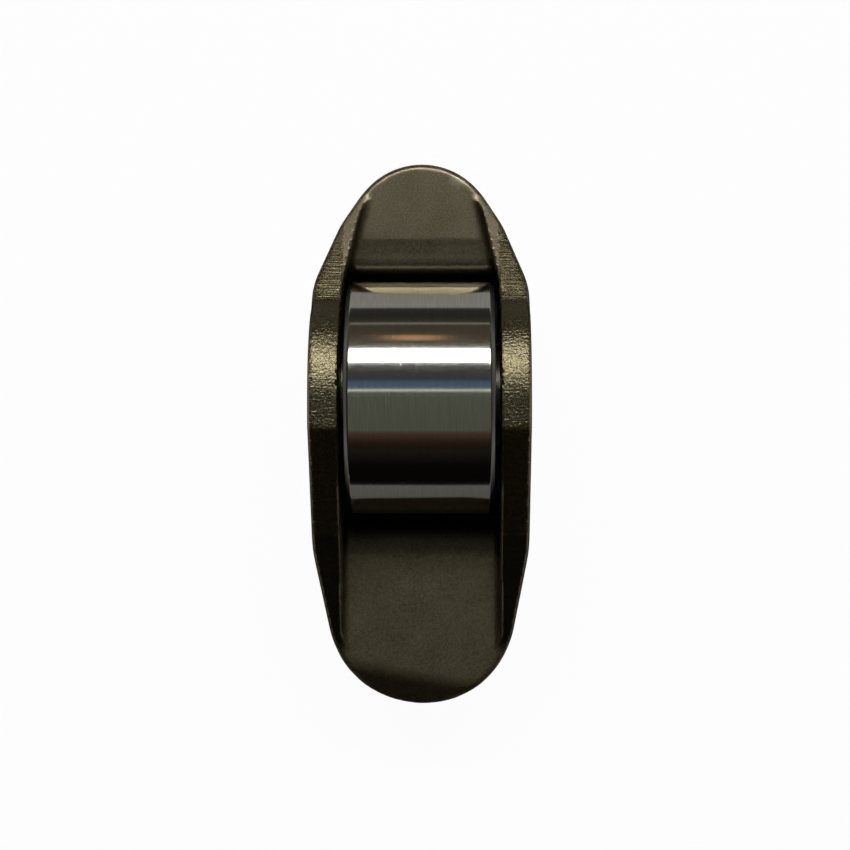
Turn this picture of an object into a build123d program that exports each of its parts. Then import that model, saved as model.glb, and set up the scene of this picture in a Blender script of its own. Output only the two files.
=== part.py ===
from build123d import *
import os
from math import cos, radians, sin, sqrt, tan

# A roller finger follower: a pressed sheet-steel arm that carries a cam roller on needles.
# All sizes are millimetres. X runs from the pivot end to the valve end, Y along the roller's
# axis and Z up to the cam. The origin is the middle of the roller's axis.

# Sheet and channel
sheet = 2.65
channel_inside_radius = 0.8
keel_round = 2.0

# Cam roller
roller_radius = 10.5
roller_width = 13.0
roller_edge_chamfer = 0.4
roller_side_clearance = 0.47
roller_pocket_clearance = 0.8

# Axle pin and needles
pin_ratio = 10 / 21
pin_hole_clearance = 0.01
pin_end_recess = 0.05
pin_end_chamfer = 0.35
stake_ring_inset = 1.1
stake_ring_width = 0.5
stake_ring_depth = 0.25
needle_count = 18
needle_ratio = 0.2
needle_end_gap = 0.67
needle_running_clearance = 0.02

# Pivot end
pivot_x = -19.45
pivot_end_inset = 1.15
pivot_taper_deg = 9.7
pivot_kink_round = 14.0
plateau_z = -1.6
plateau_bend_radius = 3.0
socket_radius = 6.0
socket_crown_thickness = 2.6
cup_rim_z = -9.0
cup_rim_chamfer = 0.5
tip_roll_reach = 2.32
tip_roll_angle_deg = 32.0
tip_roll_skew_deg = 10.0
tip_roll_radius = 3.0

# Valve end
tongue_reach = 21.34
tongue_tip_inset = 2.87
tongue_flank_length = 11.49
tongue_flank_deg = 22.0
tongue_shoulder_deg = 31.5
tongue_shoulder_round = 8.0
tongue_kink_round = 7.0
channel_kink_setback = 1.0
channel_kink_round = 8.0
channel_taper_deg = 12.5
channel_flare_deg = 0.7
tongue_z = -1.5
tongue_edge_chamfer = 0.35
tongue_nose_setback = 0.1
tongue_nose_radius = 1.4
tongue_shelf = 1.5
tongue_step_run = 1.0
tongue_step_drop = 0.5
tongue_step_round = 1.2
stem_groove_width = 7.2
rail_width = 1.2
rail_height = 1.2
rail_inset = 0.7
pad_crown_radius = 12.0
pad_crown_height = 0.5
pad_before_tip = 4.34

# Cheeks, seen from the side
ear_below_roller = 1.1
ear_land = 2.7
ear_foot_deg = 62.7
ear_foot_round = 1.6
pivot_wall_end = 3.35
valve_wall_lap = 0.25
keel_below_pin = 2.7
keel_rise_valve = 6.4
keel_rise_pivot = 3.6
pivot_root_setback = 1.9
tongue_root_past_step = 0.5
keel_corner_round = 3.5

# Webs, where the floor dips to the roller on either side
web_dip_slope_deg = 68.0

# Worked out from the sizes above: across the arm
channel_half = roller_width / 2 + roller_side_clearance
cheek_half = channel_half + sheet
pin_half = cheek_half - pin_end_recess
needle_length = 2 * (channel_half - needle_end_gap)
pivot_end_radius = cheek_half - pivot_end_inset
tongue_tip_radius = cheek_half - tongue_tip_inset

# Round the roller's axis
pin_radius = roller_radius * pin_ratio
needle_radius = pin_radius * needle_ratio
needle_pitch_radius = pin_radius + needle_running_clearance + needle_radius
race_radius = needle_pitch_radius + needle_radius + needle_running_clearance
stake_ring_radius = pin_radius - stake_ring_inset
pocket_radius = roller_radius + roller_pocket_clearance
ear_radius = roller_radius - ear_below_roller

# Along the arm
tongue_centre_x = tongue_reach - tongue_tip_radius
tongue_round_x = tongue_centre_x + tongue_tip_radius * sin(radians(tongue_shoulder_deg))
valve_wall_end_x = tongue_round_x + valve_wall_lap
tongue_nose_x = pocket_radius + tongue_nose_setback
tongue_shelf_x = tongue_nose_x + tongue_shelf
tongue_step_x = tongue_shelf_x + tongue_step_run
tongue_root_x = tongue_step_x + tongue_root_past_step
pivot_tip_x = pivot_x - pivot_end_radius
pivot_root_x = -(pocket_radius + pivot_root_setback)

# Heights
keel_z = -(pin_radius + keel_below_pin)
tongue_underside_z = tongue_z - sheet
plateau_underside_z = plateau_z - sheet
socket_centre_z = plateau_z - socket_crown_thickness - socket_radius

# Room by which a cutting or bounding tool runs past the part
past = 5.0
top_z = ear_radius + past
low_z = cup_rim_z - past
back_x = pivot_tip_x - past
front_x = tongue_reach + past


def round_corners(face, rounds):
    """A flat outline with each listed corner rounded to its own radius."""
    for (first, second), radius in rounds.items():
        corner = [v for v in face.vertices() if abs(v.X - first) < 1e-3 and abs(v.Y - second) < 1e-3]
        face = fillet(corner, radius)
    return face


def mirrored(points):
    """The same points on the other side of the arm's middle plane, in reverse order."""
    return [(x, -y) for x, y in reversed(points)]


def raised(plan):
    """An outline seen from above, as a solid taller than the part."""
    return Pos(0, 0, low_z) * extrude(plan, top_z - low_z)


def across(side):
    """An outline seen from the side, as a solid wider than the part."""
    return extrude(Plane.XZ * side, cheek_half + past, both=True)


def y_cylinder(radius, half_width):
    """A cylinder along the roller's axis, centred on the origin."""
    return Rot(90, 0, 0) * Cylinder(radius, 2 * half_width)


def turned(profile):
    """A half profile, drawn as reach along the roller's axis against radius, turned about that axis."""
    return Rot(0, 0, 90) * revolve(make_face(Polyline(*profile, close=True)), Axis.X)


def plan_outline():
    """The arm from above: round pivot end, straight cheeks and a tapered tongue."""
    a = radians(pivot_taper_deg)
    flank_fall = tan(radians(tongue_flank_deg))
    shoulder_fall = tan(radians(tongue_shoulder_deg))
    pivot_touch = (pivot_x - pivot_end_radius * sin(a), pivot_end_radius * cos(a))
    pivot_kink = (pivot_x + (cheek_half * cos(a) - pivot_end_radius) / sin(a), cheek_half)
    tongue_kink = (tongue_reach - tongue_flank_length, cheek_half)
    tongue_touch = (tongue_round_x, tongue_tip_radius * cos(radians(tongue_shoulder_deg)))
    past_kink = tongue_touch[1] + shoulder_fall * (tongue_touch[0] - tongue_kink[0]) - cheek_half
    shoulder_x = tongue_kink[0] + past_kink / (shoulder_fall - flank_fall)
    shoulder = (shoulder_x, cheek_half - flank_fall * (shoulder_x - tongue_kink[0]))
    flank = [pivot_touch, pivot_kink, tongue_kink, shoulder, tongue_touch]
    other_flank = mirrored(flank)
    edges = [
        ThreePointArc(other_flank[-1], (pivot_tip_x, 0), pivot_touch),
        Polyline(*flank),
        ThreePointArc(tongue_touch, (tongue_reach, 0), other_flank[0]),
        Polyline(*other_flank),
    ]
    rounds = {}
    for side in (1, -1):
        rounds[(shoulder[0], side * shoulder[1])] = tongue_shoulder_round
        rounds[(tongue_kink[0], side * cheek_half)] = tongue_kink_round
        rounds[(pivot_kink[0], side * cheek_half)] = pivot_kink_round
    return round_corners(make_face(Curve() + edges), rounds)


def channel_plan():
    """The room between the cheeks from above, a little flared to the pivot and drawn in to the tongue."""
    kink_x = pocket_radius - channel_kink_setback
    narrowing = (front_x - kink_x) * tan(radians(channel_taper_deg))
    widening = (-ear_land - back_x) * tan(radians(channel_flare_deg))
    flank = [
        (back_x, channel_half + widening),
        (-ear_land, channel_half),
        (kink_x, channel_half),
        (front_x, channel_half - narrowing),
    ]
    outline = make_face(Polyline(*flank, *mirrored(flank), close=True))
    kinks = [(kink_x, side * channel_half) for side in (1, -1)]
    return round_corners(outline, {kink: channel_kink_round for kink in kinks})


def side_outline():
    """The arm from the side: ears about the pin, falling cheeks, keel and tongue."""
    turn = radians(ear_foot_deg)
    ear_foot = (ear_radius * sin(turn), ear_radius * cos(turn))
    ear_middle = (ear_radius * sin(turn / 2), ear_radius * cos(turn / 2))
    keel_back = (pivot_root_x + keel_rise_pivot, keel_z)
    keel_front = (tongue_root_x - keel_rise_valve, keel_z)
    pivot_root = (pivot_root_x, plateau_underside_z)
    tongue_root = (tongue_root_x, tongue_underside_z)
    edges = [
        Polyline((front_x, tongue_z), (valve_wall_end_x, tongue_z), ear_foot),
        ThreePointArc(ear_foot, ear_middle, (0, ear_radius)),
        Polyline(
            (0, ear_radius),
            (-ear_land, ear_radius),
            (pivot_x - pivot_wall_end, plateau_z),
            (back_x, plateau_z),
            (back_x, plateau_underside_z),
            pivot_root,
            keel_back,
            keel_front,
            tongue_root,
            (front_x, tongue_underside_z),
            (front_x, tongue_z),
        ),
    ]
    rounds = {
        ear_foot: ear_foot_round,
        pivot_root: keel_corner_round,
        keel_back: keel_corner_round,
        keel_front: keel_corner_round,
        tongue_root: keel_corner_round,
    }
    return round_corners(make_face(Curve() + edges), rounds)


def channel_side():
    """The room above the floor from the side: tongue, dip to the roller, pivot plateau."""
    slope = tan(radians(web_dip_slope_deg))
    shelf_z = tongue_z - tongue_step_drop
    step_top = (tongue_step_x, tongue_z)
    step_foot = (tongue_shelf_x, shelf_z)
    nose = (tongue_nose_x, shelf_z)
    plateau_edge = (-sqrt(pocket_radius**2 - plateau_z**2), plateau_z)
    points = [
        (front_x, top_z),
        (front_x, tongue_z),
        step_top,
        step_foot,
        nose,
        (nose[0] - (shelf_z - low_z) / slope, low_z),
        (plateau_edge[0] + (plateau_z - low_z) / slope, low_z),
        plateau_edge,
        (back_x, plateau_z),
        (back_x, top_z),
    ]
    rounds = {
        step_top: tongue_step_round,
        step_foot: tongue_step_round,
        nose: tongue_nose_radius,
        plateau_edge: plateau_bend_radius,
    }
    return round_corners(make_face(Polyline(*points, close=True)), rounds)


def drawn_blank():
    """The outside of the pressing: the keel's edges rounded, the tongue tip's upper edge eased."""
    block = (raised(plan_outline()) & across(side_outline())).solid()
    keel_top_z = max(tongue_underside_z, plateau_underside_z)
    keel = []
    for edge in block.edges():
        box = edge.bounding_box()
        crosses = box.size.X < 0.01
        if box.max.Z < keel_top_z + 0.01 and not crosses:
            keel.append(edge)
    block = fillet(keel, keel_round)
    tip = []
    for edge in block.edges():
        box = edge.bounding_box()
        on_tongue = abs(box.min.Z - tongue_z) < 0.01 and abs(box.max.Z - tongue_z) < 0.01
        if on_tongue and box.max.X > tongue_reach - 0.01:
            tip.append(edge)
    return chamfer(tip, tongue_edge_chamfer)


def channel_tool():
    """What the draw leaves open between the cheeks, rounded where floor meets cheek."""
    tool = (raised(channel_plan()) & across(channel_side())).solid()
    seams = []
    for edge in tool.edges():
        box = edge.bounding_box()
        on_floor = low_z + 0.1 < box.max.Z < tongue_z + 0.01
        crosses = box.size.X < 0.01
        if on_floor and not crosses:
            seams.append(edge)
    return fillet(seams, channel_inside_radius)


def roller_pocket():
    """The window that the roller turns in, as wide as the channel and round about the roller."""
    return y_cylinder(pocket_radius, cheek_half) & raised(channel_plan())


def tip_roll_tool():
    """What is taken off where the plateau's outer end rolls down, a little askew as pressed."""
    turn = radians(tip_roll_angle_deg)
    lead = tip_roll_radius * tan(turn / 2)
    start = (lead, 0)
    middle = (lead - tip_roll_radius * sin(turn / 2), tip_roll_radius * (cos(turn / 2) - 1))
    end = (-lead * cos(turn), -lead * sin(turn))
    far = (-cheek_half * cos(turn), -cheek_half * sin(turn))
    edges = [
        ThreePointArc(start, middle, end),
        Polyline(end, far, (far[0], past), (start[0], past), start),
    ]
    roll = Rot(0, 0, -tip_roll_skew_deg) * across(make_face(Curve() + edges))
    return Pos(pivot_tip_x + tip_roll_reach, 0, plateau_z) * roll


def pivot_cup():
    """The drawn cup that takes the pivot ball: the arm's round end carried down to the rim."""
    height = plateau_underside_z + keel_round - cup_rim_z
    cup = Pos(pivot_x, 0, cup_rim_z) * Cylinder(
        pivot_end_radius, height, align=(Align.CENTER, Align.CENTER, Align.MIN)
    )
    return chamfer(cup.edges().sort_by(Axis.Z)[0], cup_rim_chamfer)


def pivot_socket():
    """The ball's room: a sphere, with a chamfered mouth at the rim."""
    mouth_radius = sqrt(socket_radius**2 - (cup_rim_z - socket_centre_z) ** 2)
    lead = Cone(
        mouth_radius + cup_rim_chamfer + past,
        mouth_radius,
        cup_rim_chamfer + past,
        align=(Align.CENTER, Align.CENTER, Align.MAX),
    )
    ball = Pos(pivot_x, 0, socket_centre_z) * Sphere(socket_radius)
    return ball + Pos(pivot_x, 0, cup_rim_z + cup_rim_chamfer) * lead


def stem_guides():
    """Two rails under the tongue that straddle the valve stem, and the crowned pad between them."""
    on_floor = (Align.MIN, Align.CENTER, Align.MIN)
    length = tongue_reach - tongue_shelf_x
    outer_width = stem_groove_width + 2 * rail_width
    rails_z = tongue_underside_z - rail_height
    pad_z = tongue_underside_z - pad_crown_height
    rails = Box(length, outer_width, rail_height + sheet / 2, align=on_floor)
    groove = Box(length, stem_groove_width, rail_height, align=on_floor)
    slab = Box(length, stem_groove_width, pad_crown_height + sheet / 4, align=on_floor)
    drum = y_cylinder(pad_crown_radius, outer_width / 2)
    crown = Pos(tongue_reach - pad_before_tip, 0, pad_z + pad_crown_radius) * drum
    pad = crown & Pos(tongue_shelf_x, 0, pad_z) * slab
    inset_plan = Pos(-rail_inset, 0, 0) * raised(plan_outline())
    return (Pos(tongue_shelf_x, 0, rails_z) * (rails - groove) + pad) & inset_plan


def arm_body():
    """The whole pressing, one piece of sheet steel."""
    body = drawn_blank() + pivot_cup() + stem_guides()
    body = body - channel_tool() - roller_pocket()
    body = body - pivot_socket() - y_cylinder(pin_radius + pin_hole_clearance, cheek_half + past)
    return (body - tip_roll_tool()).solid()


def roller_ring():
    """The ground outer ring, chamfered at its running face."""
    half = roller_width / 2
    profile = [
        (-half, race_radius),
        (-half, roller_radius - roller_edge_chamfer),
        (-half + roller_edge_chamfer, roller_radius),
        (half - roller_edge_chamfer, roller_radius),
        (half, roller_radius - roller_edge_chamfer),
        (half, race_radius),
    ]
    return turned(profile)


def axle_pin():
    """The pin through both cheeks, with the ring groove that staking leaves in each end."""
    groove_in = stake_ring_radius - stake_ring_width / 2
    groove_out = stake_ring_radius + stake_ring_width / 2
    half_profile = [
        (0, pin_radius),
        (pin_half - pin_end_chamfer, pin_radius),
        (pin_half, pin_radius - pin_end_chamfer),
        (pin_half, groove_out),
        (pin_half - stake_ring_depth, stake_ring_radius),
        (pin_half, groove_in),
        (pin_half, 0),
    ]
    other_half = [(-x, r) for x, r in reversed(half_profile[1:])]
    return turned([*half_profile, *other_half])


def needle(index):
    """One needle of the full complement, at its place round the pin."""
    turn = 360 / needle_count * index
    return Rot(0, turn, 0) * Pos(0, 0, needle_pitch_radius) * y_cylinder(needle_radius, needle_length / 2)


parts = {"arm_body": arm_body(), "roller_ring": roller_ring(), "axle_pin": axle_pin()}
for number in range(needle_count):
    parts[f"needle_{number + 1:02d}"] = needle(number)

os.makedirs("parts", exist_ok=True)
for name, shape in parts.items():
    export_step(shape, f"parts/{name}.step")
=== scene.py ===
"""The looks of a roller finger follower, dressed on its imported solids.

The arm lies with its cam side up. +X runs from the pivot end to the valve end, +Y along the
roller's axis and +Z up to the cam. The origin is the middle of the roller's axis. Every object
is in metres and stays in the solids' own frame; sizes written in millimetres say so.
"""

import logging
import math
from dataclasses import dataclass
from enum import Enum

import bmesh
import bpy
from mathutils import Matrix, Vector
from mathutils.kdtree import KDTree


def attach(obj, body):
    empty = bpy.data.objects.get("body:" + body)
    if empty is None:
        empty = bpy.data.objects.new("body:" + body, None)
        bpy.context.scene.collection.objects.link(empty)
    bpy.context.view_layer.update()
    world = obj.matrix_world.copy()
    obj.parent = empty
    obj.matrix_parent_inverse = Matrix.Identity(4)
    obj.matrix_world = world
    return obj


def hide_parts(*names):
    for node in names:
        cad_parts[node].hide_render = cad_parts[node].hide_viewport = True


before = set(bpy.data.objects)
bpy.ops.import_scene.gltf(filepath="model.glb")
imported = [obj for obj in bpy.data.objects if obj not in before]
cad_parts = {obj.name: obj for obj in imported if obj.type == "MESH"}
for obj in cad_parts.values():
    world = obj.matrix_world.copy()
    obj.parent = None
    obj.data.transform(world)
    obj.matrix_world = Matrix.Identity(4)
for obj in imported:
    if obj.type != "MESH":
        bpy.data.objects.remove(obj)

logging.basicConfig(level=logging.INFO, format="%(name)s: %(message)s")
log = logging.getLogger("follower")

MM = 0.001

# The Mix node has a twin of each socket for every kind of value. These carry colours.
MIX_SHARE, MIX_FIRST, MIX_SECOND, MIX_RESULT = 0, 6, 7, 2


class Body(Enum):
    """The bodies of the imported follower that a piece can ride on."""

    ARM = "arm"
    ROLLER = "roller"
    NEEDLES = "needle_complement"


def linear(hex_colour: str) -> tuple[float, float, float, float]:
    """Turns an sRGB hex value into linear RGBA.

    Args:
        hex_colour: The colour as "#rrggbb".

    Returns:
        Linear red, green and blue with full alpha.
    """
    channels = [int(hex_colour[i : i + 2], 16) / 255 for i in (1, 3, 5)]
    red, green, blue = (
        c / 12.92 if c <= 0.04045 else ((c + 0.055) / 1.055) ** 2.4 for c in channels
    )
    return red, green, blue, 1.0


def add_node(
    tree: bpy.types.NodeTree, kind: str, inputs: dict | None = None, **settings: object
) -> bpy.types.Node:
    """Adds a node with its settings, values and links.

    Args:
        tree: The tree that takes the node.
        kind: The node's type name.
        inputs: A value, or an output socket to link, for each input by name or index.
        settings: The node's own properties.

    Returns:
        The new node.
    """
    node = tree.nodes.new(kind)
    for name, value in settings.items():
        setattr(node, name, value)
    for key, value in (inputs or {}).items():
        if isinstance(value, bpy.types.NodeSocket):
            tree.links.new(value, node.inputs[key])
        else:
            node.inputs[key].default_value = value
    return node


def mesh_object(name: str, mesh: bpy.types.Mesh) -> bpy.types.Object:
    """Shows a mesh as an object at the origin.

    Args:
        name: The object's name.
        mesh: Its mesh, already in place.

    Returns:
        The new object.
    """
    made = bpy.data.objects.new(name, mesh)
    bpy.context.scene.collection.objects.link(made)
    return made


def turned_mesh(
    name: str, profile: list[tuple[float, float]], steps: int, sharp_deg: float
) -> bpy.types.Mesh:
    """Turns a half profile about the roller's axis.

    Args:
        name: The mesh's name.
        profile: Closed loop or open line of (place along Y, radius), in millimetres.
        steps: How many faces go round.
        sharp_deg: Corners of the profile sharper than this keep a crisp edge.

    Returns:
        The turned mesh, its faces pointing outwards.
    """
    shape = bmesh.new()
    line = [shape.verts.new((0, y * MM, r * MM)) for y, r in profile]
    edges = [shape.edges.new(pair) for pair in zip(line, line[1:])]
    if profile[0][1] > 0:
        edges.append(shape.edges.new((line[-1], line[0])))
    bmesh.ops.spin(
        shape,
        geom=line + edges,
        axis=(0, 1, 0),
        cent=(0, 0, 0),
        angle=2 * math.pi,
        steps=steps,
    )
    bmesh.ops.remove_doubles(shape, verts=shape.verts, dist=1e-7)
    bmesh.ops.recalc_face_normals(shape, faces=shape.faces)
    for face in shape.faces:
        face.smooth = True
    for edge in shape.edges:
        edge.smooth = edge.calc_face_angle(0) < math.radians(sharp_deg)
    mesh = bpy.data.meshes.new(name)
    shape.to_mesh(mesh)
    shape.free()
    return mesh


def rounded(
    profile: list[tuple[float, float, float]], steps: int = 4
) -> list[tuple[float, float]]:
    """Rounds the corners of a closed profile.

    Args:
        profile: Corners as (place along Y, radius, corner round), in millimetres.
        steps: How many short lines stand for a round.

    Returns:
        The outline's points.
    """
    points = []
    for i, (y, r, size) in enumerate(profile):
        here = Vector((y, r))
        before = Vector(profile[i - 1][:2]) - here
        after = Vector(profile[(i + 1) % len(profile)][:2]) - here
        start, end = here + before.normalized() * size, here + after.normalized() * size
        for k in range(steps + 1):
            t = k / steps
            point = start * (1 - t) ** 2 + here * 2 * t * (1 - t) + end * t**2
            points.append((point.x, point.y))
    return points


@dataclass(frozen=True)
class PressedSteel:
    """Deep-drawing steel, case hardened and tumbled: a dark olive-brown film with a dull grain.

    The film keeps its sheen low, so a lamp shows only where a face turns right to it. Where the
    die sheared the sheet, painted as the mesh's "sheared" attribute, short ridges run across the
    cut and break that sheen up, and the ears' tops are "pitted" as well. The edges of the
    roller's window are painted black as shade, where the web runs in under the roller, from a
    painted mesh attribute. One small rubbed place beside the valve tongue's tip is worn lighter.
    The grain is drawn coarser than shot leaves it, so that it shows.
    """

    colour: str = "#8b816c"
    film: str = "#625946"
    worn: str = "#a39a83"
    # Painted shade: the black laid on the edges of the roller's window.
    window_shade_black: str = "#0b0906"
    roughness: float = 0.4
    cut_shade: str = "#d8dace"
    cut_roughness: float = 0.3
    patch_mm: float = 2.5
    patch_weight: float = 0.35
    film_range: tuple[float, float] = (0.4, 0.95)
    grain_mm: float = 0.15
    grain_depth_mm: float = 0.009
    mottle_mm: float = 0.24
    mottle_depth_mm: float = 0.065
    ridge_mm: float = 0.17
    ridge_depth_mm: float = 0.032
    ridge_squeeze: float = 0.06
    rub_place_mm: tuple[float, float, float] = (19.87, -3.56, -1.5)
    rub_size_mm: tuple[float, float, float] = (0.7, 1.2, 0.5)
    rub_fray_mm: float = 0.35
    rub_edge: tuple[float, float] = (0.9, 1.6)
    rub_share: float = 0.8

    def material(self) -> bpy.types.Material:
        """Builds the finish.

        Returns:
            The new material.
        """
        made = bpy.data.materials.new("case_hardened_pressed_steel")
        made.use_nodes = True
        tree = made.node_tree
        tree.nodes.clear()
        place = add_node(tree, "ShaderNodeTexCoord").outputs["Object"]
        cut = add_node(tree, "ShaderNodeAttribute", attribute_name="sheared").outputs["Fac"]
        grain = add_node(
            tree,
            "ShaderNodeTexNoise",
            {"Vector": place, "Scale": 1 / (self.grain_mm * MM), "Detail": 2},
        ).outputs[0]
        # The height is in millimetres, so the bump's distance is one millimetre.
        bump = add_node(
            tree,
            "ShaderNodeBump",
            {"Height": self.height(tree, place, grain, cut), "Distance": MM, "Strength": 1.0},
        )
        roughness = add_node(
            tree,
            "ShaderNodeMath",
            {0: cut, 1: self.cut_roughness - self.roughness, 2: self.roughness},
            operation="MULTIPLY_ADD",
        )
        shader = add_node(
            tree,
            "ShaderNodeBsdfPrincipled",
            {
                "Base Color": self.shade(tree, place, grain, cut),
                "Metallic": 1.0,
                "Roughness": roughness.outputs[0],
                "Normal": bump.outputs["Normal"],
            },
        )
        add_node(tree, "ShaderNodeOutputMaterial", {"Surface": shader.outputs["BSDF"]})
        return made

    def shade(
        self,
        tree: bpy.types.NodeTree,
        place: bpy.types.NodeSocket,
        grain: bpy.types.NodeSocket,
        cut: bpy.types.NodeSocket,
    ) -> bpy.types.NodeSocket:
        """Colours the film, its cloudy patches, the cuts, the rubbed place and the painted shade at
        the roller's window.

        Args:
            tree: The material's tree.
            place: The coordinates.
            grain: The fine grain's value.
            cut: 1 where the sheet was sheared, else 0.

        Returns:
            The socket with the colour.
        """
        patches = add_node(
            tree,
            "ShaderNodeTexNoise",
            {"Vector": place, "Scale": 1 / (self.patch_mm * MM), "Detail": 4},
        )
        cloudy = add_node(
            tree,
            "ShaderNodeMath",
            {0: patches.outputs[0], 1: self.patch_weight, 2: grain},
            operation="MULTIPLY_ADD",
        )
        least, most = self.film_range
        filmed = add_node(
            tree,
            "ShaderNodeMapRange",
            {"Value": cloudy.outputs[0], "From Min": least, "From Max": most},
        ).outputs["Result"]
        # Painted shade: black at the edges of the roller's window, where the roller shades the web.
        painted_window_shade = add_node(tree, "ShaderNodeAttribute", attribute_name="painted_window_shade").outputs["Fac"]
        colour = linear(self.colour)
        for share, second, blend in (
            (filmed, self.film, "MIX"),
            (cut, self.cut_shade, "MULTIPLY"),
            (self.rub(tree, place), self.worn, "MIX"),
            (painted_window_shade, self.window_shade_black, "MIX"),
        ):
            colour = add_node(
                tree,
                "ShaderNodeMix",
                {MIX_SHARE: share, MIX_FIRST: colour, MIX_SECOND: linear(second)},
                data_type="RGBA",
                blend_type=blend,
            ).outputs[MIX_RESULT]
        return colour

    def height(
        self,
        tree: bpy.types.NodeTree,
        place: bpy.types.NodeSocket,
        grain: bpy.types.NodeSocket,
        cut: bpy.types.NodeSocket,
    ) -> bpy.types.NodeSocket:
        """Raises the grain, and on the cuts the ridges and the ears' pits as well.

        Args:
            tree: The material's tree.
            place: The coordinates.
            grain: The fine grain's value.
            cut: 1 where the sheet was sheared, else 0.

        Returns:
            The socket with the height in millimetres.
        """
        mottle = add_node(
            tree,
            "ShaderNodeTexNoise",
            {"Vector": place, "Scale": 1 / (self.mottle_mm * MM), "Detail": 3},
        )
        squeezed = add_node(
            tree, "ShaderNodeMapping", {"Vector": place, "Scale": (1.0, self.ridge_squeeze, 1.0)}
        )
        ridge = add_node(
            tree,
            "ShaderNodeTexNoise",
            {
                "Vector": squeezed.outputs["Vector"],
                "Scale": 1 / (self.ridge_mm * MM),
                "Detail": 3,
            },
        )
        pitted = add_node(tree, "ShaderNodeAttribute", attribute_name="pitted").outputs["Fac"]
        grains = add_node(
            tree, "ShaderNodeMath", {0: grain, 1: self.grain_depth_mm}, operation="MULTIPLY"
        )
        pits = add_node(
            tree, "ShaderNodeMath", {0: mottle.outputs[0], 1: pitted}, operation="MULTIPLY"
        )
        deep_pits = add_node(
            tree,
            "ShaderNodeMath",
            {0: pits.outputs[0], 1: self.mottle_depth_mm},
            operation="MULTIPLY",
        )
        cut_height = add_node(
            tree,
            "ShaderNodeMath",
            {0: ridge.outputs[0], 1: self.ridge_depth_mm, 2: deep_pits.outputs[0]},
            operation="MULTIPLY_ADD",
        )
        return add_node(
            tree,
            "ShaderNodeMath",
            {0: cut_height.outputs[0], 1: cut, 2: grains.outputs[0]},
            operation="MULTIPLY_ADD",
        ).outputs[0]

    def rub(
        self, tree: bpy.types.NodeTree, place: bpy.types.NodeSocket
    ) -> bpy.types.NodeSocket:
        """Marks the rubbed place near the tip, frayed at its edge.

        Args:
            tree: The material's tree.
            place: The coordinates.

        Returns:
            The socket with the worn colour's share: most inside the place, 0 away from it.
        """
        fray = add_node(
            tree,
            "ShaderNodeTexNoise",
            {"Vector": place, "Scale": 1 / (self.rub_fray_mm * MM), "Detail": 2},
        )
        spot = add_node(
            tree,
            "ShaderNodeMapping",
            {
                "Vector": place,
                "Location": tuple(x * MM for x in self.rub_place_mm),
                "Scale": tuple(x * MM for x in self.rub_size_mm),
            },
            vector_type="TEXTURE",
        )
        reach = add_node(
            tree, "ShaderNodeVectorMath", {0: spot.outputs["Vector"]}, operation="LENGTH"
        )
        frayed = add_node(
            tree,
            "ShaderNodeMath",
            {0: reach.outputs["Value"], 1: fray.outputs[0]},
            operation="ADD",
        )
        inner, outer = self.rub_edge
        return add_node(
            tree,
            "ShaderNodeMapRange",
            {
                "Value": frayed.outputs[0],
                "From Min": inner,
                "From Max": outer,
                "To Min": self.rub_share,
                "To Max": 0.0,
            },
        ).outputs["Result"]


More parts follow.
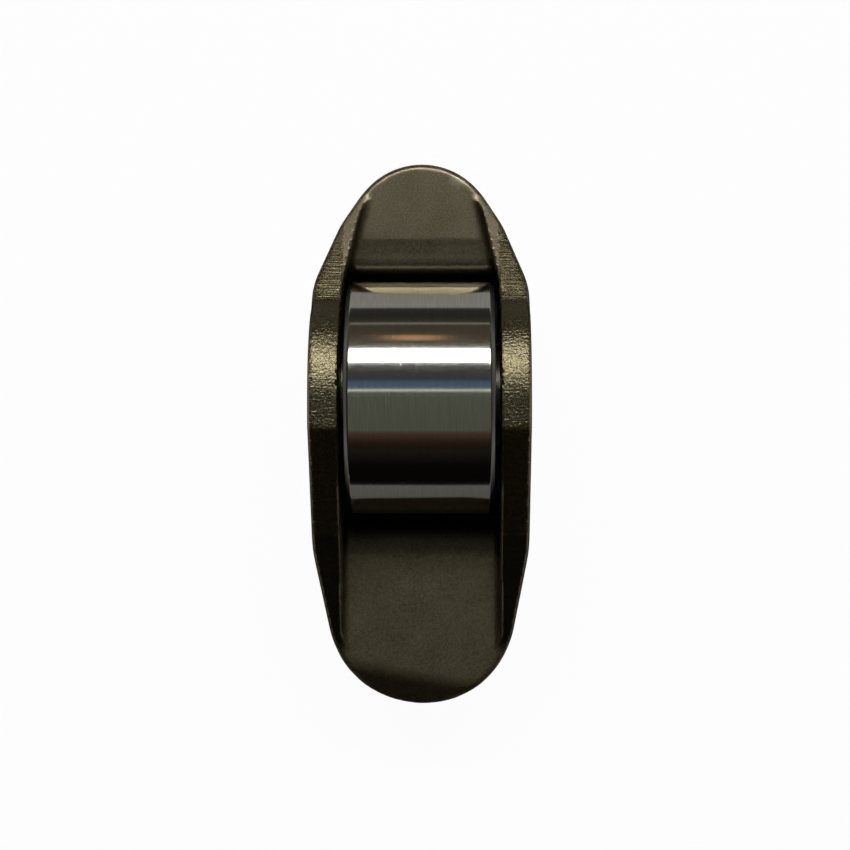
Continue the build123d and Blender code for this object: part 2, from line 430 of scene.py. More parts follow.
@dataclass(frozen=True)
class GroundSteel:
    """Through-hardened bearing steel, ground bright, with fine lines round the axis.

    The lines and the few nicks are drawn coarser than grinding leaves them, so that they show.
    """

    name: str = "ground_bearing_steel"
    colour: str = "#c9c8c2"
    roughness: float = 0.1
    line_mm: float = 0.1
    line_long_mm: float = 2.2
    line_depth_mm: float = 0.0022
    line_range: tuple[float, float] = (0.3, 0.7)
    line_shade: tuple[float, float] = (0.9, 1.06)
    nick_mm: float = 0.16
    nick_depth_mm: float = 0.003
    nick_range: tuple[float, float] = (0.72, 0.8)
    nick_turn: tuple[float, float, float] = (0.3, 0.2, 0.15)
    nick_squeeze: tuple[float, float, float] = (0.12, 1.0, 0.25)

    def material(self) -> bpy.types.Material:
        """Builds the finish.

        Returns:
            The new material.
        """
        made = bpy.data.materials.new(self.name)
        made.use_nodes = True
        tree = made.node_tree
        tree.nodes.clear()
        place = add_node(tree, "ShaderNodeTexCoord").outputs["Object"]
        lines = self.lines(tree, place)
        height = add_node(
            tree,
            "ShaderNodeMath",
            {0: lines, 1: self.line_depth_mm, 2: self.nicks(tree, place)},
            operation="MULTIPLY_ADD",
        )
        bump = add_node(
            tree,
            "ShaderNodeBump",
            {"Height": height.outputs[0], "Distance": MM, "Strength": 1.0},
        )
        least, most = self.line_range
        dark, bright = self.line_shade
        shade = add_node(
            tree,
            "ShaderNodeMapRange",
            {"Value": lines, "From Min": least, "From Max": most, "To Min": dark, "To Max": bright},
        )
        colour = add_node(
            tree,
            "ShaderNodeVectorMath",
            {0: linear(self.colour)[:3], "Scale": shade.outputs["Result"]},
            operation="SCALE",
        )
        shader = add_node(
            tree,
            "ShaderNodeBsdfPrincipled",
            {
                "Base Color": colour.outputs["Vector"],
                "Metallic": 1.0,
                "Roughness": self.roughness,
                "Normal": bump.outputs["Normal"],
            },
        )
        add_node(tree, "ShaderNodeOutputMaterial", {"Surface": shader.outputs["BSDF"]})
        return made

    def lines(
        self, tree: bpy.types.NodeTree, place: bpy.types.NodeSocket
    ) -> bpy.types.NodeSocket:
        """Draws the grinding lines: narrow along the axis and long round it.

        Args:
            tree: The material's tree.
            place: The coordinates.

        Returns:
            The socket with the lines' value.
        """
        round_it, across = 1 / (self.line_long_mm * MM), 1 / (self.line_mm * MM)
        squeezed = add_node(
            tree, "ShaderNodeMapping", {"Vector": place, "Scale": (round_it, across, round_it)}
        )
        return add_node(
            tree,
            "ShaderNodeTexNoise",
            {"Vector": squeezed.outputs["Vector"], "Scale": 1.0, "Detail": 3},
        ).outputs[0]

    def nicks(
        self, tree: bpy.types.NodeTree, place: bpy.types.NodeSocket
    ) -> bpy.types.NodeSocket:
        """Sinks a few short nicks, all at one slant.

        Args:
            tree: The material's tree.
            place: The coordinates.

        Returns:
            The socket with the nicks' height in millimetres.
        """
        slanted = add_node(
            tree,
            "ShaderNodeMapping",
            {"Vector": place, "Rotation": self.nick_turn, "Scale": self.nick_squeeze},
        )
        specks = add_node(
            tree,
            "ShaderNodeTexNoise",
            {
                "Vector": slanted.outputs["Vector"],
                "Scale": 1 / (self.nick_mm * MM),
                "Detail": 1,
            },
        )
        least, most = self.nick_range
        return add_node(
            tree,
            "ShaderNodeMapRange",
            {
                "Value": specks.outputs[0],
                "From Min": least,
                "From Max": most,
                "To Max": -self.nick_depth_mm,
            },
        ).outputs["Result"]


@dataclass
class PressedArm:
    """The sheet-steel arm: cheeks, valve tongue, pivot end and cup in one pressing."""

    voxel_mm: float = 0.17
    easing: int = 4
    triangles: int = 170000
    cheek_from_mm: float = 7.05
    web_top_mm: float = -1.3
    # The edges that the blanking punch drew in, and how far their round reaches.
    rim_deg: float = 35.0
    rim_upper_rise: float = 0.35
    rim_side_drop: float = 0.25
    rim_spacing_mm: float = 0.25
    roll_easing: int = 26
    roll_reach_mm: float = 1.1
    roll_lowest_mm: float = -2.6
    roll_least: float = 0.4
    roll_grows_mm: float = 6.0
    roll_ends_mm: float = 14.0
    roll_fades_mm: float = 3.0
    # The step of the tongue, and the ears' feet, which the draw has softened.
    step_mm: tuple[float, ...] = (11.2, 12.3, 12.9, 13.1, 13.9, 14.4)
    step_lift_mm: tuple[float, ...] = (0.0, 0.15, 0.15, 0.1, -0.13, 0.0)
    step_margin_mm: float = 0.5
    step_roll: float = 0.12
    ear_foot_mm: tuple[float, float, float] = (8.35, 4.31, 1.3)
    ear_foot_roll: float = 0.8
    # The sheared tops face up and hardly sideways; the painted shade at the window fades away from
    # it.
    cut_rise: float = 0.3
    cut_side_lean: float = 0.45
    window_radius_mm: float = 11.3
    window_shade_valve_mm: float = 1.6
    window_shade_pivot_mm: float = 3.0
    window_shade_fade: float = 0.5
    finish: PressedSteel = PressedSteel()

    def build(self) -> bpy.types.Object:
        """Makes the pressing from its solid, with every cut edge eased as tumbling leaves it.

        Returns:
            The arm's object.
        """
        shell = bmesh.new()
        shell.from_mesh(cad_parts["arm_body"].data)
        bmesh.ops.remove_doubles(shell, verts=shell.verts, dist=1e-6)
        rim = self.rolled_rim(shell)
        mesh = bpy.data.meshes.new("pressed_arm")
        shell.to_mesh(mesh)
        shell.free()
        skin = self.even_skin(mesh)
        skin = self.rolled_skin(skin, rim)
        self.paint_cuts(skin)
        skin.name = "pressed_arm"
        for face in skin.polygons:
            face.use_smooth = True
        skin.materials.clear()
        skin.materials.append(self.finish.material())
        arm = mesh_object("pressed_arm", skin)
        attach(arm, Body.ARM.value)
        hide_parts("arm_body")
        return arm

    def rolled_rim(self, shell: bmesh.types.BMesh) -> KDTree:
        """Finds the cam-side edges that the blanking punch drew in: those that face outwards.

        Args:
            shell: The solid's mesh.

        Returns:
            Points along those edges, no further apart than the rim's spacing.
        """
        points = []
        for edge in shell.edges:
            if len(edge.link_faces) != 2:
                continue
            if edge.calc_face_angle_signed(0) < math.radians(self.rim_deg):
                continue
            upper, side = sorted((f.normal for f in edge.link_faces), key=lambda n: -n.z)
            first, last = (v.co for v in edge.verts)
            middle = (first + last) / 2
            if side.x * middle.x + side.y * middle.y <= 0:
                continue
            if upper.z < self.rim_upper_rise or side.z > upper.z - self.rim_side_drop:
                continue
            count = max(2, int((last - first).length / (self.rim_spacing_mm * MM)) + 2)
            points += [first.lerp(last, k / (count - 1)) for k in range(count)]
        tree = KDTree(len(points))
        for i, point in enumerate(points):
            tree.insert(point, i)
        tree.balance()
        return tree

    def even_skin(self, mesh: bpy.types.Mesh) -> bpy.types.Mesh:
        """Re-covers the mesh with even faces and eases all its edges a little.

        Args:
            mesh: The solid's mesh.

        Returns:
            The new skin.
        """
        draft = mesh_object("pressed_arm_draft", mesh)
        remesh = draft.modifiers.new("even_skin", "REMESH")
        remesh.mode = "VOXEL"
        remesh.voxel_size = self.voxel_mm * MM
        smooth = draft.modifiers.new("eased_edges", "SMOOTH")
        smooth.factor = 0.5
        smooth.iterations = self.easing
        return self.taken(draft)

    def rolled_skin(self, skin: bpy.types.Mesh, rim: KDTree) -> bpy.types.Mesh:
        """Rounds the rolled edges further and thins the mesh where it is flat.

        Args:
            skin: The even skin.
            rim: Points along the rolled edges.

        Returns:
            The finished skin.
        """
        draft = mesh_object("pressed_arm_draft", skin)
        rolled = draft.vertex_groups.new(name="rolled")
        reach = self.roll_reach_mm * MM
        step_end = self.step_mm[-1] + self.step_margin_mm
        foot_x, foot_z, foot_reach = self.ear_foot_mm
        for vertex in skin.vertices:
            x, y, z = vertex.co / MM
            if z < self.roll_lowest_mm:
                continue
            on_web = abs(y) < self.cheek_from_mm and z < self.web_top_mm
            if on_web and self.step_mm[0] < x < step_end:
                vertex.co.z += self.step_lift(x) * MM
                rolled.add([vertex.index], self.step_roll, "REPLACE")
                continue
            at_foot = math.hypot(x - foot_x, z - foot_z) < foot_reach
            if at_foot and abs(y) > self.cheek_from_mm:
                rolled.add([vertex.index], self.ear_foot_roll, "REPLACE")
                continue
            gap = rim.find(vertex.co)[2]
            if gap < reach:
                weight = (1 - (gap / reach) ** 2) * self.roll_share(x)
                rolled.add([vertex.index], weight, "REPLACE")
        skin.update()
        smooth = draft.modifiers.new("rolled_edges", "SMOOTH")
        smooth.factor = 0.5
        smooth.iterations = self.roll_easing
        smooth.vertex_group = "rolled"
        thin = draft.modifiers.new("thinned", "DECIMATE")
        thin.ratio = min(1.0, self.triangles / (2 * len(skin.polygons)))
        thin.use_collapse_triangulate = True
        return self.taken(draft)

    def roll_share(self, x_mm: float) -> float:
        """Says how strongly an edge is rolled at one place: most at the pivot end.

        Args:
            x_mm: The place along the arm.

        Returns:
            The share, from 0 to 1.
        """
        grown = min(1.0, max(self.roll_least, self.roll_least - x_mm / self.roll_grows_mm))
        left = min(1.0, max(0.0, (self.roll_ends_mm - x_mm) / self.roll_fades_mm))
        return grown * left

    def step_lift(self, x_mm: float) -> float:
        """Says how far the tongue's step is eased by the draw, up or down, at one place.

        Args:
            x_mm: The place along the arm.

        Returns:
            The lift in millimetres.
        """
        for i, (first, last) in enumerate(zip(self.step_mm, self.step_mm[1:])):
            if first <= x_mm <= last:
                share = (x_mm - first) / (last - first)
                return self.step_lift_mm[i] * (1 - share) + self.step_lift_mm[i + 1] * share
        return 0.0

    def taken(self, draft: bpy.types.Object) -> bpy.types.Mesh:
        """Takes the modified mesh off a draft and clears the draft away.

        Args:
            draft: An object with modifiers.

        Returns:
            Its mesh with the modifiers applied.
        """
        seen = bpy.context.evaluated_depsgraph_get()
        mesh = bpy.data.meshes.new_from_object(draft.evaluated_get(seen))
        bpy.data.objects.remove(draft)
        return mesh

    def paint_cuts(self, skin: bpy.types.Mesh) -> None:
        """Paints where the die sheared the cheeks' tops, and the painted shade at the roller's
        window.

        Args:
            skin: The arm's mesh, which gains the "sheared" and "pitted" attributes and one for the
                painted shade.
        """
        sheared = skin.attributes.new("sheared", "FLOAT", "POINT")
        pitted = skin.attributes.new("pitted", "FLOAT", "POINT")
        painted_window_shade = skin.attributes.new("painted_window_shade", "FLOAT", "POINT")
        cuts, ears, window_shades = [], [], []
        for vertex in skin.vertices:
            x, y, z = vertex.co / MM
            normal = vertex.normal
            on_top = abs(y) > self.cheek_from_mm and z > self.web_top_mm
            faces_up = normal.z > self.cut_rise and abs(normal.y) < self.cut_side_lean
            cuts.append(float(on_top and faces_up))
            ears.append(float(on_top and faces_up and z > self.ear_foot_mm[1]))
            # Painted shade: black at the window's edge, fading with distance from it, reaching
            # further at the pivot end.
            reach = self.window_shade_valve_mm if x > 0 else self.window_shade_pivot_mm
            near = 1 - (math.hypot(x, z) - self.window_radius_mm) / reach
            inside = abs(y) < self.cheek_from_mm and z < 0
            window_shades.append(min(1.0, max(0.0, near)) ** self.window_shade_fade if inside else 0.0)
        sheared.data.foreach_set("value", cuts)
        pitted.data.foreach_set("value", ears)
        painted_window_shade.data.foreach_set("value", window_shades)


@dataclass
class CamRoller:
    """The ground outer ring that the cam runs on."""

    radius_mm: float = 10.5
    width_mm: float = 13.0
    race_radius_mm: float = 7.04
    edge_mm: float = 0.4
    edge_round_mm: float = 0.12
    race_edge_mm: float = 0.3
    race_round_mm: float = 0.08
    steps: int = 288
    finish: GroundSteel = GroundSteel()
    # Turned and hardened but not ground: the chamfers and sides are duller than the running face,
    # and their darker grey is painted shade.
    side_finish_and_shade: GroundSteel = GroundSteel("turned_ring_side_steel_and_shade", "#5c5a54", 0.3)

    def build(self) -> bpy.types.Object:
        """Turns the ring, its chamfers run softly into the running face.

        Returns:
            The ring's object.
        """
        half, r, race = self.width_mm / 2, self.radius_mm, self.race_radius_mm
        edge, inner = self.edge_mm, self.race_edge_mm
        corners = [
            (-half, race + inner, self.race_round_mm),
            (-half, r - edge, self.edge_round_mm),
            (-half + edge, r, self.edge_round_mm),
            (half - edge, r, self.edge_round_mm),
            (half, r - edge, self.edge_round_mm),
            (half, race + inner, self.race_round_mm),
            (half - inner, race, self.race_round_mm),
            (-half + inner, race, self.race_round_mm),
        ]
        mesh = turned_mesh("cam_roller_ring", rounded(corners), self.steps, sharp_deg=40)
        mesh.materials.append(self.finish.material())
        mesh.materials.append(self.side_finish_and_shade.material())
        # The chamfers and sides take the second finish, whose darker grey is painted shade.
        for face in mesh.polygons:
            middle = face.center / MM
            outside = math.hypot(middle.x, middle.z) > r - edge
            ground = outside and abs(middle.y) < half - edge
            face.material_index = 0 if ground else 1
        ring = mesh_object("cam_roller_ring", mesh)
        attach(ring, Body.ROLLER.value)
        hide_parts("roller_ring")
        return ring


@dataclass
class AxlePin:
    """The hardened pin through both cheeks, with the ring that staking leaves in each end."""

    radius_mm: float = 5.0
    half_length_mm: float = 9.57
    end_mm: float = 0.35
    groove_radius_mm: float = 3.9
    groove_mm: float = 0.5
    groove_depth_mm: float = 0.25
    steps: int = 144
    # Ground and staked: the pin's dull grey-brown, near the arm's own film, is painted shade that
    # dims the lamp's glint on it in the slits beside the roller.
    finish: GroundSteel = GroundSteel("pin_steel_in_painted_shade", "#6d675d", 0.4)

    def build(self) -> bpy.types.Object:
        """Turns the pin.

        Returns:
            The pin's object.
        """
        half, r, groove = self.half_length_mm, self.radius_mm, self.groove_radius_mm
        end = [
            (half - self.end_mm, r),
            (half, r - self.end_mm),
            (half, groove + self.groove_mm / 2),
            (half - self.groove_depth_mm, groove),
            (half, groove - self.groove_mm / 2),
            (half, 0.0),
        ]
        profile = [(-y, radius) for y, radius in reversed(end)] + end
        mesh = turned_mesh("staked_axle_pin", profile, self.steps, sharp_deg=20)
        mesh.materials.append(self.finish.material())
        pin = mesh_object("staked_axle_pin", mesh)
        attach(pin, Body.ARM.value)
        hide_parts("axle_pin")
        return pin


@dataclass
class NeedleComplement:
    """The needles that fill the room between pin and ring, set round the pin."""

    count: int = 18
    radius_mm: float = 1.0
    length_mm: float = 12.6
    pitch_radius_mm: float = 6.02
    sides: int = 32
    sharp_deg: float = 40.0
    # Lapped: nearly as bright as the ring's running face, a little softer.
    finish: GroundSteel = GroundSteel("lapped_needle_steel", "#c4c2bb", 0.15)

    def tree(self, material: bpy.types.Material) -> bpy.types.GeometryNodeTree:
        """Builds the node tree that sets needles round a ring.

        Args:
            material: The needles' finish.

        Returns:
            The tree, with inputs for count, radius, length and pitch radius.
        """
        made = bpy.data.node_groups.new("needle_ring", "GeometryNodeTree")
        sockets = made.interface
        sockets.new_socket("Geometry", in_out="OUTPUT", socket_type="NodeSocketGeometry")
        sockets.new_socket("Count", in_out="INPUT", socket_type="NodeSocketInt")
        for name in ("Radius", "Length", "Pitch radius"):
            sockets.new_socket(name, in_out="INPUT", socket_type="NodeSocketFloat")
        sizes = add_node(made, "NodeGroupInput").outputs
        needle = add_node(
            made,
            "GeometryNodeMeshCylinder",
            {"Vertices": self.sides, "Radius": sizes["Radius"], "Depth": sizes["Length"]},
        )
        laid = add_node(
            made,
            "GeometryNodeTransform",
            {"Geometry": needle.outputs["Mesh"], "Rotation": (math.pi / 2, 0, 0)},
        )
        places = add_node(made, "GeometryNodePoints", {"Count": sizes["Count"]})
        set_out = add_node(
            made,
            "GeometryNodeSetPosition",
            {
                "Geometry": places.outputs[0],
                "Position": self.spot(made, sizes["Count"], sizes["Pitch radius"]),
            },
        )
        copies = add_node(
            made,
            "GeometryNodeInstanceOnPoints",
            {"Points": set_out.outputs[0], "Instance": laid.outputs[0]},
        )
        real = add_node(made, "GeometryNodeRealizeInstances", {"Geometry": copies.outputs[0]})
        dressed = add_node(
            made, "GeometryNodeSetMaterial", {"Geometry": real.outputs[0], "Material": material}
        )
        add_node(made, "NodeGroupOutput", {"Geometry": dressed.outputs[0]})
        return made

    def spot(
        self,
        tree: bpy.types.GeometryNodeTree,
        count: bpy.types.NodeSocket,
        pitch_radius: bpy.types.NodeSocket,
    ) -> bpy.types.NodeSocket:
        """Works out where each needle stands, the first one straight up.

        Args:
            tree: The needles' tree.
            count: How many needles there are.
            pitch_radius: The radius of the circle through their middles.

        Returns:
            The socket with the place.
        """
        index = add_node(tree, "GeometryNodeInputIndex")
        pitch = add_node(tree, "ShaderNodeMath", {0: math.tau, 1: count}, operation="DIVIDE")
        angle = add_node(
            tree,
            "ShaderNodeMath",
            {0: index.outputs["Index"], 1: pitch.outputs[0]},
            operation="MULTIPLY",
        )
        across, up = (
            add_node(
                tree,
                "ShaderNodeMath",
                {
                    0: add_node(
                        tree, "ShaderNodeMath", {0: angle.outputs[0]}, operation=part
                    ).outputs[0],
                    1: pitch_radius,
                },
                operation="MULTIPLY",
            )
            for part in ("SINE", "COSINE")
        )
        return add_node(
            tree, "ShaderNodeCombineXYZ", {"X": across.outputs[0], "Z": up.outputs[0]}
        ).outputs["Vector"]

    def build(self) -> bpy.types.Object:
        """Sets the needles round the pin.

        Returns:
            One object that holds all the needles.
        """
        material = self.finish.material()
        draft = mesh_object("needle_draft", bpy.data.meshes.new("needle_draft"))
        modifier = draft.modifiers.new("needle_ring", "NODES")
        modifier.node_group = self.tree(material)
        values = {
            "Count": self.count,
            "Radius": self.radius_mm * MM,
            "Length": self.length_mm * MM,
            "Pitch radius": self.pitch_radius_mm * MM,
        }
        for item in modifier.node_group.interface.items_tree:
            if item.in_out == "INPUT":
                modifier[item.identifier] = values[item.name]
        seen = bpy.context.evaluated_depsgraph_get()
        mesh = bpy.data.meshes.new_from_object(draft.evaluated_get(seen))
        bpy.data.objects.remove(draft)
        mesh.name = "needle_complement"
        mesh.materials.clear()
        mesh.materials.append(material)
        mesh.shade_smooth()
        mesh.set_sharp_from_angle(angle=math.radians(self.sharp_deg))
        needles = mesh_object("needle_rollers", mesh)
        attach(needles, Body.NEEDLES.value)
        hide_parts(*[f"needle_{number:02d}" for number in range(1, self.count + 1)])
        return needles


@dataclass
class PhotoCamera:
    """A camera that looks straight down on the roller from a little beside the arm."""

    height_mm: float = 172.0
    x_mm: float = -2.4
    y_mm: float = -3.2
    scale_px_per_mm: float = 11.1
    foot_x_px: float = 457.0
    foot_y_px: float = 425.0
    image_px: float = 850.0
    sensor_mm: float = 36.0
    clip_m: tuple[float, float] = (0.005, 10.0)

    def build(self) -> bpy.types.Object:
        """Places the camera, the picture's right along -Y and its top along +X.

        Returns:
            The camera's object.
        """
        lens = bpy.data.cameras.new("photo_camera")
        lens.sensor_width = self.sensor_mm
        lens.lens = self.scale_px_per_mm * self.height_mm / self.image_px * self.sensor_mm
        lens.shift_x = (self.image_px / 2 - self.foot_x_px) / self.image_px
        lens.shift_y = (self.foot_y_px - self.image_px / 2) / self.image_px
        lens.clip_start, lens.clip_end = self.clip_m
        camera = bpy.data.objects.new("photo_camera", lens)
        camera.location = (self.x_mm * MM, self.y_mm * MM, self.height_mm * MM)
        camera.rotation_euler = (0, 0, -math.pi / 2)
        bpy.context.scene.collection.objects.link(camera)
        bpy.context.scene.camera = camera
        return camera


def glowing_strip(
    name: str, rows: list[tuple[Vector, Vector, float]], colour: str
) -> bpy.types.Object:
    """Makes a strip of the studio that the metal mirrors and the camera doesn't see.

    Args:
        name: The strip's name.
        rows: Two corners and their glow for each row; the glow runs evenly between rows.
        colour: The light's sRGB colour.

    Returns:
        The strip's object.
    """
    mesh = bpy.data.meshes.new(name)
    corners = [corner for first, second, _ in rows for corner in (first, second)]
    faces = [(2 * i, 2 * i + 1, 2 * i + 3, 2 * i + 2) for i in range(len(rows) - 1)]
    mesh.from_pydata(corners, [], faces)
    glow = mesh.attributes.new("glow", "FLOAT", "POINT")
    for i, row in enumerate(rows):
        glow.data[2 * i].value = glow.data[2 * i + 1].value = row[2]
    material = bpy.data.materials.new(name)
    material.use_nodes = True
    tree = material.node_tree
    tree.nodes.clear()
    painted = add_node(tree, "ShaderNodeAttribute", attribute_name="glow")
    light = add_node(
        tree,
        "ShaderNodeEmission",
        {"Color": linear(colour), "Strength": painted.outputs["Fac"]},
    )
    add_node(tree, "ShaderNodeOutputMaterial", {"Surface": light.outputs[0]})
    mesh.materials.append(material)
    strip = mesh_object(name, mesh)
    strip.visible_camera = False
    strip.visible_shadow = False
    return strip


@dataclass(frozen=True)
class Card:
    """A glowing or dark card bent round the roller's axis.

    Each stop is a lean from straight up, positive towards the valve end, and the glow there. A
    card turned by 90 degrees stands beside the arm at +Y and one turned by -90 at -Y.
    """

    name: str
    stops: tuple[tuple[float, float], ...]
    wide_m: float = 3.0
    colour: str = "#ffffff"
    distance_m: float = 1.0
    aside_m: float = 0.0
    turn_deg: float = 0.0

    def build(self) -> bpy.types.Object:
        """Hangs the card.

        Returns:
            The card's object.
        """
        turn = Matrix.Rotation(math.radians(self.turn_deg), 3, "Z")
        half = self.wide_m / 2
        rows = []
        for lean_deg, glow in self.stops:
            lean = math.radians(lean_deg)
            middle = Vector((math.sin(lean), 0, math.cos(lean))) * self.distance_m
            left, right = (Vector((0, self.aside_m + side * half, 0)) for side in (-1, 1))
            rows.append((turn @ (middle + left), turn @ (middle + right), glow))
        return glowing_strip(self.name, rows, self.colour)


@dataclass(frozen=True)
class ReflectedFloorShade:
    """A grey strip just over the floor round the arm, which only the metal's reflections see.

    It is painted shade: it keeps the white sheet's glare off the arm's underside, its rims and its
    gaps, standing in for the shade that the arm's own closeness to the table casts there. Each
    stop is a place along the arm, the strip's half width there and the glow there. Beside the arm
    it is narrow, so that the cheeks still show white.
    """

    stops: tuple[tuple[float, float, float], ...] = (
        (-1400.0, 900.0, 0.004),
        (-236.0, 150.0, 0.004),
        (-228.0, 140.0, 0.16),
        (-38.0, 50.0, 0.12),
        (-27.0, 50.0, 0.01),
        (19.0, 50.0, 0.005),
        (32.0, 50.0, 0.28),
        (126.0, 100.0, 0.33),
        (132.0, 110.0, 0.03),
        (1400.0, 900.0, 0.03),
    )
    colour: str = "#fffdf4"
    above_floor_mm: float = 0.05

    def build(self, floor_m: float) -> bpy.types.Object:
        """Lays the strip.

        Args:
            floor_m: The floor's level.

        Returns:
            The mat's object.
        """
        level = floor_m + self.above_floor_mm * MM
        rows = []
        for x_mm, half_mm, glow in self.stops:
            left, right = (Vector((x_mm * MM, side * half_mm * MM, level)) for side in (-1, 1))
            rows.append((left, right, glow))
        # Painted shade: the floor as the metal mirrors it, dim close to the arm.
        shade_strip = glowing_strip("reflected_floor_shade", rows, self.colour)
        shade_strip.visible_diffuse = False
        return shade_strip


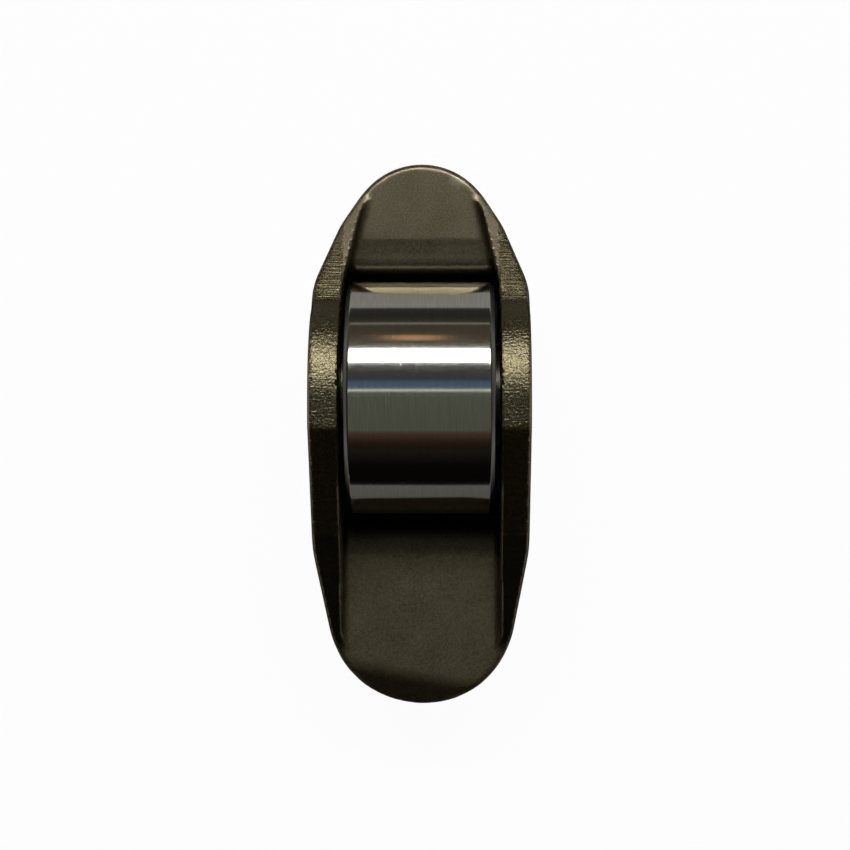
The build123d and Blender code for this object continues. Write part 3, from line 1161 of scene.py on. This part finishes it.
@dataclass
class Studio:
    """A plain pale floor under one large soft lamp, in a dim room."""

    floor_z_mm: float = -10.5
    floor_half_m: float = 1.5
    floor_colour: str = "#f4f4f2"
    white_share: float = 0.965
    fill: float = 0.85
    # Painted shadow: the floor under the roller's window is painted dark grey, in an oval of this
    # size and edge.
    painted_shadow_colour: str = "#262624"
    painted_shadow_half_mm: tuple[float, float] = (17.5, 10.0)
    painted_shadow_edge: tuple[float, float] = (0.9, 1.02)
    cards: tuple[Card, ...] = (
        Card(
            "soft_lamp",
            stops=((34.5, 4.0), (36.0, 13.0), (45.5, 13.0), (47.5, 4.0)),
            wide_m=0.9,
        ),
        Card(
            "ceiling",
            stops=((-33.0, 0.105), (8.0, 0.12)),
            wide_m=2.6,
            colour="#f8ffe6",
            aside_m=-0.75,
        ),
        Card(
            "ceiling_slot",
            stops=((6.3, 1.5), (7.5, 1.5)),
            colour="#f6ffe8",
            distance_m=0.98,
        ),
        Card(
            "window_light",
            stops=((7.5, 0.21), (14.5, 0.2), (18.0, 0.08), (20.0, 0.05)),
            colour="#b0d1ff",
            distance_m=0.99,
        ),
        Card(
            "upper_wall",
            stops=((19.5, 0.055), (35.0, 0.05)),
            colour="#fff8e8",
            distance_m=0.985,
        ),
        Card(
            "warm_lamp",
            stops=((57.0, 0.6), (60.5, 0.7), (63.0, 0.35)),
            wide_m=0.08,
            colour="#ffc78f",
            distance_m=0.9,
            aside_m=0.026,
        ),
        Card(
            "warm_wall",
            stops=((47.0, 0.1), (56.0, 0.08), (76.0, 0.06)),
            wide_m=4.0,
            colour="#ffebc4",
            distance_m=1.2,
        ),
        Card(
            "wall_slot",
            stops=((75.8, 0.4), (77.2, 0.4)),
            colour="#fffae8",
            distance_m=1.1,
        ),
        Card(
            "low_wall",
            stops=((75.0, 0.05), (85.0, 0.03), (97.0, 0.025)),
            wide_m=4.0,
            colour="#fff4dc",
            distance_m=1.2,
        ),
        Card(
            "brown_curtain",
            stops=((-32.5, 0.09), (-38.0, 0.06), (-42.0, 0.032), (-50.0, 0.012)),
            wide_m=4.0,
            colour="#ffc8a4",
            distance_m=1.1,
        ),
        Card(
            "dark_room",
            stops=((-49.5, 0.016), (-60.0, 0.009), (-68.0, 0.003), (-96.0, 0.002)),
            wide_m=4.0,
            colour="#fff0e0",
            distance_m=1.2,
        ),
        Card(
            "dark_side",
            stops=((22.0, 0.04), (60.0, 0.012), (96.0, 0.012)),
            wide_m=5.0,
            colour="#fff4e0",
            distance_m=1.3,
            turn_deg=90.0,
        ),
        Card(
            "pale_side",
            stops=((36.0, 0.12), (60.0, 0.12), (96.0, 0.05)),
            wide_m=5.0,
            colour="#fff8e8",
            distance_m=1.3,
            turn_deg=-90.0,
        ),
    )

    def build(self) -> None:
        """Lays the floor and the painted shade strip over it, hangs the cards and lights the world.
        """
        size = self.floor_half_m
        level = self.floor_z_mm * MM
        corners = [(x * size, y * size, level) for x, y in ((-1, -1), (1, -1), (1, 1), (-1, 1))]
        mesh = bpy.data.meshes.new("floor")
        mesh.from_pydata(corners, [], [(0, 1, 2, 3)])
        mesh.materials.append(self.floor_material())
        mesh_object("floor", mesh)
        ReflectedFloorShade().build(level)
        for card in self.cards:
            card.build()
        self.light_world()

    def whitened(self, tree: bpy.types.NodeTree, share: float) -> bpy.types.NodeSocket:
        """Says how far a ray sees plain white: camera rays, and what metal and glass show.

        Args:
            tree: The material's or the world's tree.
            share: The white's share for such a ray.

        Returns:
            The socket with that share for those rays and 0 for others.
        """
        path = add_node(tree, "ShaderNodeLightPath").outputs
        seen = path["Is Camera Ray"]
        for ray in ("Is Glossy Ray", "Is Transmission Ray"):
            seen = add_node(
                tree, "ShaderNodeMath", {0: seen, 1: path[ray]}, operation="MAXIMUM"
            ).outputs[0]
        return add_node(
            tree, "ShaderNodeMath", {0: seen, 1: share}, operation="MULTIPLY"
        ).outputs[0]

    def clear_of_arm(self, tree: bpy.types.NodeTree) -> bpy.types.NodeSocket:
        """Marks the floor under the roller's window, where it shows no white and is painted dark as
        shadow.

        Args:
            tree: The floor material's tree.

        Returns:
            The socket with 0 under the arm and 1 clear of it.
        """
        place = add_node(tree, "ShaderNodeTexCoord").outputs["Object"]
        half_x, half_y = self.painted_shadow_half_mm
        oval = add_node(
            tree,
            "ShaderNodeMapping",
            {
                "Vector": place,
                "Location": (0, 0, self.floor_z_mm * MM),
                "Scale": (half_x * MM, half_y * MM, 1),
            },
            vector_type="TEXTURE",
        )
        reach = add_node(
            tree, "ShaderNodeVectorMath", {0: oval.outputs["Vector"]}, operation="LENGTH"
        )
        inner, outer = self.painted_shadow_edge
        clear = add_node(
            tree,
            "ShaderNodeMapRange",
            {"Value": reach.outputs["Value"], "From Min": inner, "From Max": outer},
        )
        return clear.outputs["Result"]

    def floor_material(self) -> bpy.types.Material:
        """Builds the pale paper floor, white where it is seen and still taking the shadow, with a
        painted shadow under the roller's window.

        Returns:
            The floor's material.
        """
        made = bpy.data.materials.new("pale_floor")
        made.use_nodes = True
        tree = made.node_tree
        tree.nodes.clear()
        clear = self.clear_of_arm(tree)
        # Painted shadow: dark grey under the roller's window, the pale floor colour clear of it.
        colour = add_node(
            tree,
            "ShaderNodeMix",
            {
                MIX_SHARE: clear,
                MIX_FIRST: linear(self.painted_shadow_colour),
                MIX_SECOND: linear(self.floor_colour),
            },
            data_type="RGBA",
        )
        matte = add_node(tree, "ShaderNodeBsdfDiffuse", {"Color": colour.outputs[MIX_RESULT]})
        white = add_node(tree, "ShaderNodeEmission", {"Strength": 1.0})
        share = self.whitened(tree, self.white_share)
        share = add_node(tree, "ShaderNodeMath", {0: share, 1: clear}, operation="MULTIPLY")
        shader = add_node(
            tree,
            "ShaderNodeMixShader",
            {0: share.outputs[0], 1: matte.outputs[0], 2: white.outputs[0]},
        )
        add_node(tree, "ShaderNodeOutputMaterial", {"Surface": shader.outputs[0]})
        return made

    def light_world(self) -> None:
        """Gives the world a white background over a low, even fill."""
        world = bpy.data.worlds.new("studio")
        bpy.context.scene.world = world
        world.use_nodes = True
        tree = world.node_tree
        tree.nodes.clear()
        fill = add_node(tree, "ShaderNodeBackground", {"Strength": self.fill})
        white = add_node(tree, "ShaderNodeBackground", {"Strength": 1.0})
        share = self.whitened(tree, 1.0)
        mixed = add_node(
            tree, "ShaderNodeMixShader", {0: share, 1: fill.outputs[0], 2: white.outputs[0]}
        )
        add_node(tree, "ShaderNodeOutputWorld", {"Surface": mixed.outputs[0]})
        bpy.context.scene.view_settings.view_transform = "Standard"


def main() -> None:
    """Builds the follower, its studio and its camera."""
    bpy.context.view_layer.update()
    PhotoCamera().build()
    for part in (PressedArm(), CamRoller(), AxlePin(), NeedleComplement()):
        made = part.build()
    Studio().build()


if __name__ == "__main__":
    main()
